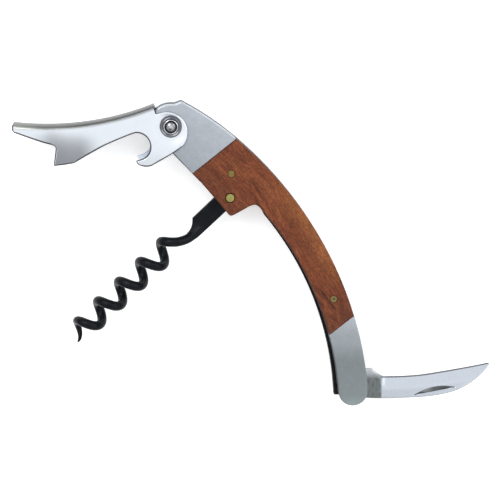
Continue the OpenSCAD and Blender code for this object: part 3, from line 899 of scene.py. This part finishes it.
through_pin("worm_pivot_rivet", (0, 0), 1.40, M_BRASS.m, "pin_brass", "worm_pivot_pin", crown=0.03, sink=0.09)
through_pin("upper_scale_rivet", US, 1.10, M_BRASS2.m, "pin_brass", "upper_scale_pin", crown=0.0, sink=0.07)
short_pin("lower_scale_rivet_front", LS, 1.15, M_BRASS3.m, "pin_brass", "lower_scale_pin_front", 1, hollow=0.55)
short_pin("lower_scale_rivet_rear", LS, 1.15, M_BRASS3.m, "pin_brass", "lower_scale_pin_rear", -1, hollow=0.55)
through_pin("spring_rivet", SP, 0.98, M_BOL.m, "bolster_steel", "spring_pin", crown=0.0, sink=0.25)
through_pin("blade_pivot_rivet", BP, 1.58, M_BOL.m, "bolster_steel", "blade_pivot_pin", crown=0.0, sink=0.25)

# ------------------------------------------------------------------ lever
lever_line = ccw(clean(join(
    arc(CB, RB, 262.8, 291.5, 110),
    [[-23.9, 28.3]],
    arc([-20.45, 21.8], 6.75, 119, -36, 90),
    curve([[-15.4, 17.4], [-17.6, 15.8], [-20.3, 14.1], [-23.6, 12.2], [-25.2, 11.3]], 8),
    arc([-27.2, 15.8], 5, -68, -125, 26),
    [[-30.6, 12.7]],
    arc([-30.3, 17.4], 4.4, -80, 92, 70),
    curve([[-31.0, 21.7], [-33, 21.0], [-37, 19.4], [-41, 17.6], [-45.5, 15.1], [-50.5, 12.15]], 10),
    curve([[-50.5, 12.15], [-52.6, 11.75], [-54.8, 11.4], [-57.25, 11.2]], 6),
    curve([[-57.25, 11.2], [-56.75, 14.0], [-56.3, 17.0], [-56.7, 17.9]], 6),
    curve([[-56.7, 17.9], [-60, 18.85], [-63, 19.9], [-66, 21.0], [-69.2, 22.2]], 6),
    [[-69.2, 22.2], [-70.0, 22.9], [-70.6, 23.8]])))
lev = split_long(soften(lever_line, 0.28), 0.6)


def dish(p):
    """How far a lever wall dips inwards: pressed in at the heel, and round the rivet."""
    x, y = p[:, 0], p[:, 1]
    # heel: the wall curls in, more and more towards its lower edge
    d = np.maximum(23.3 + 1.1 * np.exp(-((x + 57.5) / 3.0) ** 2) - y, 0)
    heel = 0.135 * (d - 3.3 * (1 - np.exp(-d / 3.3))) * smooth(x, -37.5, -50.0) * smooth(x, -68.5, -58.5)
    k = np.clip(16.5 - y, 0, 8)
    hook = 0.055 * k * k / (k + 2) * smooth(x, -20.0, -24.0) * smooth(x, -36.0, -33.0)
    toe = 0.16 * smooth(x, -60.0, -71.0)
    d = np.hypot(x - LV[0], y - LV[1])
    ring = 0.62 * smooth(d, 7.6, 3.1)
    return -(heel + hook + toe + ring)


def dish_in(p):
    """The inner faces dip no further than the clearance over the handle allows; past that the heel is ground thinner."""
    return np.maximum(dish(p), -0.20)


def wall_rim(p):
    """The bend between the back and the walls is a generous one; the cut rims are only broken."""
    back = np.abs(np.hypot(p[:, 0] - CB[0], p[:, 1] - CB[1]) - RB) < 0.06
    t = back * smooth(p[:, 0], -24.8, -26.1) * smooth(p[:, 0], -70.9, -70.2)
    fine = smooth(p[:, 0], -68.2, -70.0)
    for x, y, near, far in ((-30.6, 12.8, 1.6, 3.4), (-57.25, 11.2, 0.7, 1.7), (-50.5, 12.15, 0.5, 1.3), (-24.5, 29.6, 0.9, 2.2), (-23.9, 28.1, 0.9, 2.2), (-56.7, 17.9, 0.4, 1.2)):
        fine = np.maximum(fine, smooth(np.hypot(p[:, 0] - x, p[:, 1] - y), far, near))
    return 0.60 - 0.20 * fine * (1 - t)


solid = plate("lever_channel", lev, -Z_WALL, Z_WALL, r_top=wall_rim, r_bot=wall_rim, steps=6, grid=1.1, zf=dish, zb=lambda p: -dish(p), mat=M_LEVER.m)

inner_top = arc(CB, RB + SHEET, 261.0, 291.1, 90)
cut_line = ccw(clean(join(inner_top, [[-24.35, 29.0], [-24.35, 34.0], [-8.0, 34.0], [-8.0, 4.0], [-76.0, 4.0], [-76.0, 22.6]])))
cut_line = split_long(cut_line, 0.9)
cutter = plate("lever_cutter", cut_line, -Z_IN, Z_IN, r_top=0.0001, r_bot=0.0, steps=1, grid=1.3, zf=dish_in, zb=lambda p: -dish_in(p))
rod = plate("lever_bore", arc(LV, 1.9, 0, 360, 64)[:-1], -Z_WALL - 2, Z_WALL + 2, r_top=0.0001, steps=1)
for vt in solid.data.vertices:                # the toe is cut square, a little askew
    vx, vz = (vt.co.x - O.x) / MM, (vt.co.z - O.z) / MM
    vt.co.x = O.x + max(vx, TOE + (vz + Z_WALL) / (2 * Z_WALL)) * MM
for tool in (cutter, rod):
    md = solid.modifiers.new("cut", "BOOLEAN")
    md.operation = "DIFFERENCE"
    md.solver = "EXACT"
    md.object = tool
bake_modifiers(solid)
solid.data.materials.clear()
solid.data.materials.append(M_LEVER.m)
for tool in (cutter, rod):
    bpy.data.objects.remove(tool)
solid.data.polygons.foreach_set("use_smooth", [True] * len(solid.data.polygons))
solid.data.set_sharp_from_angle(angle=math.radians(34))
solid.name = "lever_sheet"


def dish_normals(ob):
    """Shades the dished walls from the dish's own slope, inside and out."""
    me = ob.data
    v = np.zeros(len(me.vertices) * 3)
    me.vertices.foreach_get("co", v)
    v = (v.reshape(-1, 3) - np.array(O)) / MM
    e = 0.02
    flat_ = v[:, :2]
    az, s_ = np.abs(v[:, 2]), np.sign(v[:, 2])

    def slope(f):
        n = np.c_[-(f(flat_ + (e, 0)) - f(flat_ - (e, 0))) / (2 * e), -(f(flat_ + (0, e)) - f(flat_ - (0, e))) / (2 * e), np.ones(len(v))]
        n /= np.linalg.norm(n, axis=1)[:, None]
        n[:, 2] *= s_
        return n

    outer = np.abs(az - Z_WALL - dish(flat_)) < 0.012
    inner_ = (np.abs(az - Z_IN - dish_in(flat_)) < 0.05) & ~outer
    want = np.where(inner_[:, None], -slope(dish_in), slope(dish))
    loops = np.zeros((len(me.loops), 3))
    on = outer | inner_
    for poly in me.polygons:
        pn = np.array(poly.normal)
        for li in poly.loop_indices:
            vi = me.loops[li].vertex_index
            if on[vi] and pn.dot(want[vi]) > 0.9:
                loops[li] = want[vi]
    me.normals_split_custom_set([tuple(q) for q in loops])


dish_normals(solid)
piece(solid, "lever", "lever_steel", "lever")


# rivet: shank, low rim, groove and dome on both sides
def rivet_half():
    z = Z_WALL - 0.16
    h = Z_HEAD
    prof = [(1.88, 0.0), (1.88, z + 0.02), (2.30, z + 0.04), (2.32, h - 0.62), (2.27, h - 0.50), (2.16, h - 0.44), (2.04, h - 0.50),
            (1.92, h - 0.70), (1.80, h - 0.72), (1.66, h - 0.58)]
    for k in range(0, 11):
        a = math.radians(62 * (1 - k / 10))
        prof.append((1.66 * math.sin(a) / math.sin(math.radians(62)), h - 0.58 + 0.58 * (math.cos(a) - math.cos(math.radians(62))) / (1 - math.cos(math.radians(62)))))
    return prof


half = rivet_half()
full = [(r, -z) for r, z in half[::-1]][:-1] + half[1:]
full = [(0.0 if r < 1e-5 else r, z) for r, z in full]
rv = lathe("lever_rivet_turned", LV, full[::-1], 1, 96, M_RIVET.m)
piece(rv, "lever", "rivet_steel", "lever_rivet")


def rosette(name, sign, node):
    z = Z_WALL - 0.15
    prof = [(2.36, z - 0.50), (3.46, z - 0.50), (3.50, z + 0.30), (3.46, z + 0.50), (3.36, z + 0.60), (3.22, z + 0.60)]
    for k in range(1, 9):
        t = k / 8
        prof.append((3.22 - 0.80 * t, z + 0.60 - 0.34 * math.sin(t * math.pi / 2)))
    prof += [(2.36, z + 0.2), (2.36, z - 0.50)]
    ob = lathe(name, LV, prof[::-1], sign, 96, M_ROSE.m)
    return piece(ob, "lever", "rivet_steel", node)


rosette("lever_washer_front", 1, "lever_rosette_front")
rosette("lever_washer_rear", -1, "lever_rosette_rear")

# ------------------------------------------------------------------ worm
WD = math.radians(223)
OFF, PITCH, S0, S1, RC, RW = 1.24, 9.8, 22.25, 71.4, 3.15, 1.6


def to_row(s, n, z):
    return (s * math.cos(WD) + n * math.sin(WD), s * math.sin(WD) - n * math.cos(WD), z)


def turn(s):
    if s < 17.5:
        return -math.pi
    if s < 25:
        return math.radians(-180 + 101.0 * (s - 17.5) / 7.5)
    return math.radians(-180 + 360 * (s - S0) / PITCH)


def coil(s):
    th = turn(s)
    rc = RC * (1 - 0.27 * float(smooth(s, 66.4, 71.4)))
    return np.array([s, OFF + rc * math.cos(th), -rc * math.sin(th)])


def cr3(p, m):
    p = [np.array(q, float) for q in p]
    out = []
    for i in range(len(p) - 1):
        a, b, c, d = p[max(i - 1, 0)], p[i], p[i + 1], p[min(i + 2, len(p) - 1)]
        for j in range(m):
            t = j / m
            out.append(0.5 * (2 * b + (c - a) * t + (2 * a - 5 * b + 4 * c - d) * t * t + (3 * b - a - 3 * c + d) * t ** 3))
    return out


path = cr3([[10.5, -1.3, 0], [14.5, -1.35, 0], [17.5, -1.35, 0.1], [19.8, -0.95, 0.8], [21.8, 0.05, 1.9], [23.6, 1.45, 2.75], [25.2, 3.0, 2.5], coil(26.6), coil(28.2)], 9)[:-9]
NS = 430
path += [coil(26.6 + (S1 - 26.6) * i / NS) for i in range(NS + 1)]
path = np.array(path)
SIDES = 30
tan = np.gradient(path, axis=0)
tan /= np.linalg.norm(tan, axis=1)[:, None]
verts, faces = [], []
for i, (p, t) in enumerate(zip(path, tan)):
    s = p[0]
    q = turn(s)
    w = np.array([0, math.cos(q), -math.sin(q)])
    a = w - w.dot(t) * t
    a /= np.linalg.norm(a)
    b = np.cross(t, a)
    r = RW if s < 65.0 else 0.27 + (RW - 0.27) * max(0.0, (S1 - s) / (S1 - 65.0)) ** 0.72
    thin = smooth(s, 12.0, 18.0)
    # the wire is a little flat where it leaves the tang, and round from 18 mm on
    for k in range(SIDES):
        c, d = math.cos(2 * math.pi * k / SIDES), math.sin(2 * math.pi * k / SIDES)
        fa, fb = r * (0.92 + 0.08 * thin), r * (0.56 + 0.44 * thin)
        verts.append(p + a * c * fa + b * d * fb)
for i in range(len(path) - 1):
    for k in range(SIDES):
        a, b = i * SIDES + k, i * SIDES + (k + 1) % SIDES
        faces.append((a, a + SIDES, b + SIDES, b))
n0 = len(verts)
verts.append(path[0])
verts.append(path[-1] + tan[-1] * 0.12)
for k in range(SIDES):
    faces.append((n0, k, (k + 1) % SIDES))
    e = (len(path) - 1) * SIDES
    faces.append((n0 + 1, e + (k + 1) % SIDES, e + k))
wire = make("worm_wire", [world(*to_row(*v)) for v in verts], faces, M_WORM.m, 60)

tang_line = join(arc((0, 0), 3.05, 90, 270, 60)[::1],
                 [[0, -3.05], [14.0, -3.0]], curve([[14.0, -3.0], [16.0, -3.0], [18.0, -2.9], [19.4, -2.4], [20.1, -1.5], [20.0, -0.4], [19.3, 0.35], [18.2, 0.5], [17.1, 0.78], [16.2, 1.2], [15.4, 1.75], [14.7, 2.4], [14.2, 3.0]], 6), [[14.2, 3.0], [0, 3.05]])
tang_row = np.array([to_row(s, n, 0)[:2] for s, n in tang_line])
tang = plate("worm_tang", split_long(soften(ccw(clean(tang_row)), 0.3), 0.5), -Z_TANG, Z_TANG, holes=[(0, 0, 1.45)], r_top=0.38, r_bot=0.38, steps=5, mat=M_WORM.m)
wm = solid_join = None
bpy.context.view_layer.update()
md = tang.modifiers.new("weld", "BOOLEAN")
md.operation = "UNION"
md.solver = "EXACT"
md.object = wire
bake_modifiers(tang)
tang.data.materials.clear()
tang.data.materials.append(M_WORM.m)
bpy.data.objects.remove(wire)
tang.data.polygons.foreach_set("use_smooth", [True] * len(tang.data.polygons))
tang.data.set_sharp_from_angle(angle=math.radians(42))
tang.name = "worm_coated"
piece(tang, "worm", "worm_coating", "worm")

# ------------------------------------------------------------------ blade
edge_curve = np.vstack([curve([[53.4, -64.3], [60, -64.3], [66, -64.0], [73, -63.1], [80, -62.0], [86, -61.0], [90.2, -60.2]], 14), [[90.2, -60.2], [90.6, -60.4]]])
spine_curve = curve([[90.6, -60.4], [90.4, -61.4], [87.4, -64.8], [82.3, -68.4], [77, -70.5], [70, -71.7], [62, -72.05], [53, -72.1], [47.8, -71.8], [45.6, -71.4], [44.6, -71.05]], 14)
blade_line = ccw(clean(join(
    arc(BP, 3.4, 262, 84, 60),
    [[45.6, -62.6]],
    curve([[46.4, -61.6], [48.0, -61.4], [49.3, -61.5], [50.4, -62.4], [51.8, -63.5], [53.4, -64.3]], 10),
    edge_curve, spine_curve)))
bl = split_long(soften(blade_line, 0.12, turn=30), 0.5)


def to_edge(p):
    a, b = edge_curve[:-1], edge_curve[1:]
    best = np.full(len(p), 1e9)
    d = b - a
    for i in range(0, len(p), 500):
        q = p[i:i + 500, None, :]
        t = np.clip(((q - a) * d).sum(2) / np.maximum((d * d).sum(1), 1e-12), 0, 1)
        best[i:i + 500] = np.hypot(*np.moveaxis(q - (a + d * t[..., None]), 2, 0)).min(1)
    return best


def nick_uv(p):
    q = p - NC
    u = q[:, 0] * math.cos(NA) + q[:, 1] * math.sin(NA)
    v = -q[:, 0] * math.sin(NA) + q[:, 1] * math.cos(NA)
    return u, v


def half_t(p):
    """Half the blade's thickness: full at the back, ground down to the edge, with a sweep where the grind starts."""
    x = p[:, 0]
    d = to_edge(p)
    width = 4.4 + 0.6 * smooth(x, 60, 85)
    k = np.clip(d / width, 0, 1)
    ground = 0.05 + 0.95 * (k * 0.93 + 0.07 * smooth(k, 0.8, 1.0)) * Z_TANG
    start = smooth(x + 0.18 * (p[:, 1] + 68), 52.2, 54.6)
    tip = smooth(x, 90.6, 80.0) * 0.45 + 0.55
    return (Z_TANG + (np.minimum(ground, Z_TANG) - Z_TANG) * start) * np.where(x > 60, tip, 1.0)


def nick_depth(p):
    u, v = nick_uv(p)
    w = np.clip(1 - (u / NL) ** 2, 0, 1)
    hi, lo_ = 1.70 * w, 0.20 * w
    t = (v - lo_) / np.maximum(hi - lo_, 1e-3)
    dep = 0.42 * np.sqrt(w) * np.clip(1 - t, 0, 1) ** 0.8 * smooth(v, lo_ - 0.10, lo_ + 0.06)
    return np.where((t < 1) & (np.abs(u) < NL), dep, 0.0)


def blade_front(p):
    return half_t(p) - Z_TANG - nick_depth(p)


def blade_rear(p):
    return Z_TANG - half_t(p)


def blade_rim(p):
    hump = smooth(p[:, 1], -63.9, -62.2) * smooth(p[:, 0], 45.4, 46.6)
    low = smooth(p[:, 1] - (-71.9), 2.2, 0.2) + smooth(p[:, 0], 74.0, 80.0)
    return np.minimum(0.12 + 0.30 * hump + 0.22 * np.clip(low, 0, 1), 0.42 * half_t(p))


us = np.arange(-NL - 0.4, NL + 0.41, 0.16)
vs = np.arange(-0.5, 2.1, 0.14)
nick_pts = np.array([[NC[0] + u * math.cos(NA) - v * math.sin(NA), NC[1] + u * math.sin(NA) + v * math.cos(NA)] for v in vs for u in us])


def near_nick(p):
    u, v = nick_uv(p)
    return (np.abs(u) < NL + 0.45) & (v > -0.55) & (v < 2.15)


bd = plate("blade_ground", bl, -Z_TANG, Z_TANG, holes=[(BP[0], BP[1], 1.65)], r_top=blade_rim, r_bot=blade_rim, steps=4, grid=0.55,
           zf=blade_front, zb=blade_rear, extra=(nick_pts, near_nick), mat=M_BLADE.m, sharp=26)
piece(bd, "blade", "blade_steel", "blade")

# ------------------------------------------------------------------ floor, light, camera
fm = Mat("floor_white")
fn = fm.noise(fm.mm(0, (0.01, 0.01, 0.01)), 1.0, 2.0)
fm.put(fm.b, {"Base Color": fm.mix(fn, (0.93, 0.93, 0.93), (0.95, 0.95, 0.95)), "Roughness": 0.55, "Emission Color": (1, 1, 1, 1)})
fm.b.inputs["Specular IOR Level"].default_value = 0.2
# The floor glows a little of its own, like a light table; this lifts the shadows round the tool and lights it faintly
# from below.
fm.b.inputs["Emission Strength"].default_value = 0.35
fl = make("floor", [(-4, -4, 0), (4, -4, 0), (4, 4, 0), (-4, 4, 0)], [(0, 1, 2, 3)], fm.m)

scene = bpy.context.scene
scene.view_settings.view_transform = "Standard"
scene.view_settings.look = "None"
scene.view_settings.exposure = 0.0
scene.view_settings.gamma = 1.0

wd = bpy.data.worlds.new("studio")
scene.world = wd
wd.use_nodes = True
t = wd.node_tree
t.nodes.clear()
out = t.nodes.new("ShaderNodeOutputWorld")
bg = t.nodes.new("ShaderNodeBackground")
tc = t.nodes.new("ShaderNodeTexCoord")


def wdot(v):
    k = t.nodes.new("ShaderNodeVectorMath")
    k.operation = "DOT_PRODUCT"
    t.links.new(tc.outputs["Generated"], k.inputs[0])
    k.inputs[1].default_value = tuple(Vector(v).normalized())
    return k.outputs["Value"]


def wmap(x, a, b, c, d):
    k = t.nodes.new("ShaderNodeMapRange")
    k.interpolation_type = "SMOOTHSTEP"
    t.links.new(x, k.inputs["Value"])
    for n, v in (("From Min", a), ("From Max", b), ("To Min", c), ("To Max", d)):
        k.inputs[n].default_value = v
    return k.outputs["Result"]


def wmath(op, a, b):
    k = t.nodes.new("ShaderNodeMath")
    k.operation = op
    for i, v in enumerate((a, b)):
        if isinstance(v, bpy.types.NodeSocket):
            t.links.new(v, k.inputs[i])
        else:
            k.inputs[i].default_value = v
    return k.outputs[0]


zen = wdot((0, 0, 1))
ring_part = wmath("SUBTRACT", wmap(zen, 0.10, 0.58, 0.10, 1.38), wmap(zen, 0.74, 0.91, 0.0, 0.38))
flag = wmap(wdot((-0.13, -0.56, 0.82)), math.cos(math.radians(24)), math.cos(math.radians(7)), 1.0, 0.20)
up_part = ring_part
val = wmath("MULTIPLY", up_part, flag)
rgb = t.nodes.new("ShaderNodeCombineColor")
t.links.new(wmath("MULTIPLY", val, 0.985), rgb.inputs[0])
t.links.new(wmath("MULTIPLY", val, 0.995), rgb.inputs[1])
t.links.new(val, rgb.inputs[2])
t.links.new(rgb.outputs[0], bg.inputs["Color"])
bg.inputs["Strength"].default_value = 1.0
t.links.new(bg.outputs[0], out.inputs["Surface"])


def soft_light(name, loc, size, power, aim=(0, 0, 0)):
    l = bpy.data.lights.new(name, "AREA")
    l.shape = "DISK"
    l.size = size
    l.energy = power
    o = bpy.data.objects.new(name, l)
    scene.collection.objects.link(o)
    o.location = loc
    o.rotation_euler = (Vector(aim) - Vector(loc)).to_track_quat("-Z", "Y").to_euler()
    return o


soft_light("key", (-0.55, 0.75, 1.15), 0.9, 7.0)
soft_light("fill", (0.9, 0.55, 0.9), 0.9, 3.0)

# the view: a long lens, looking down on the tool a little from its hollow side
b = Vector((-0.0731, 0.2079, 0.9754)).normalized()
r = Vector((b.z, 0, -b.x)).normalized()
u = b.cross(r)
aim = Vector(world(6.517, -17.741, 5.5)) + u * 0.0002
loc = aim + b * 0.400
cam = bpy.data.cameras.new("camera")
cam.sensor_width = 36.0
cam.lens = 86.65
cam.clip_start = 0.01
co = bpy.data.objects.new("camera", cam)
scene.collection.objects.link(co)
co.matrix_world = Matrix(((r.x, u.x, b.x, loc.x), (r.y, u.y, b.y, loc.y), (r.z, u.z, b.z, loc.z), (0, 0, 0, 1)))
scene.camera = co

bpy.context.view_layer.update()
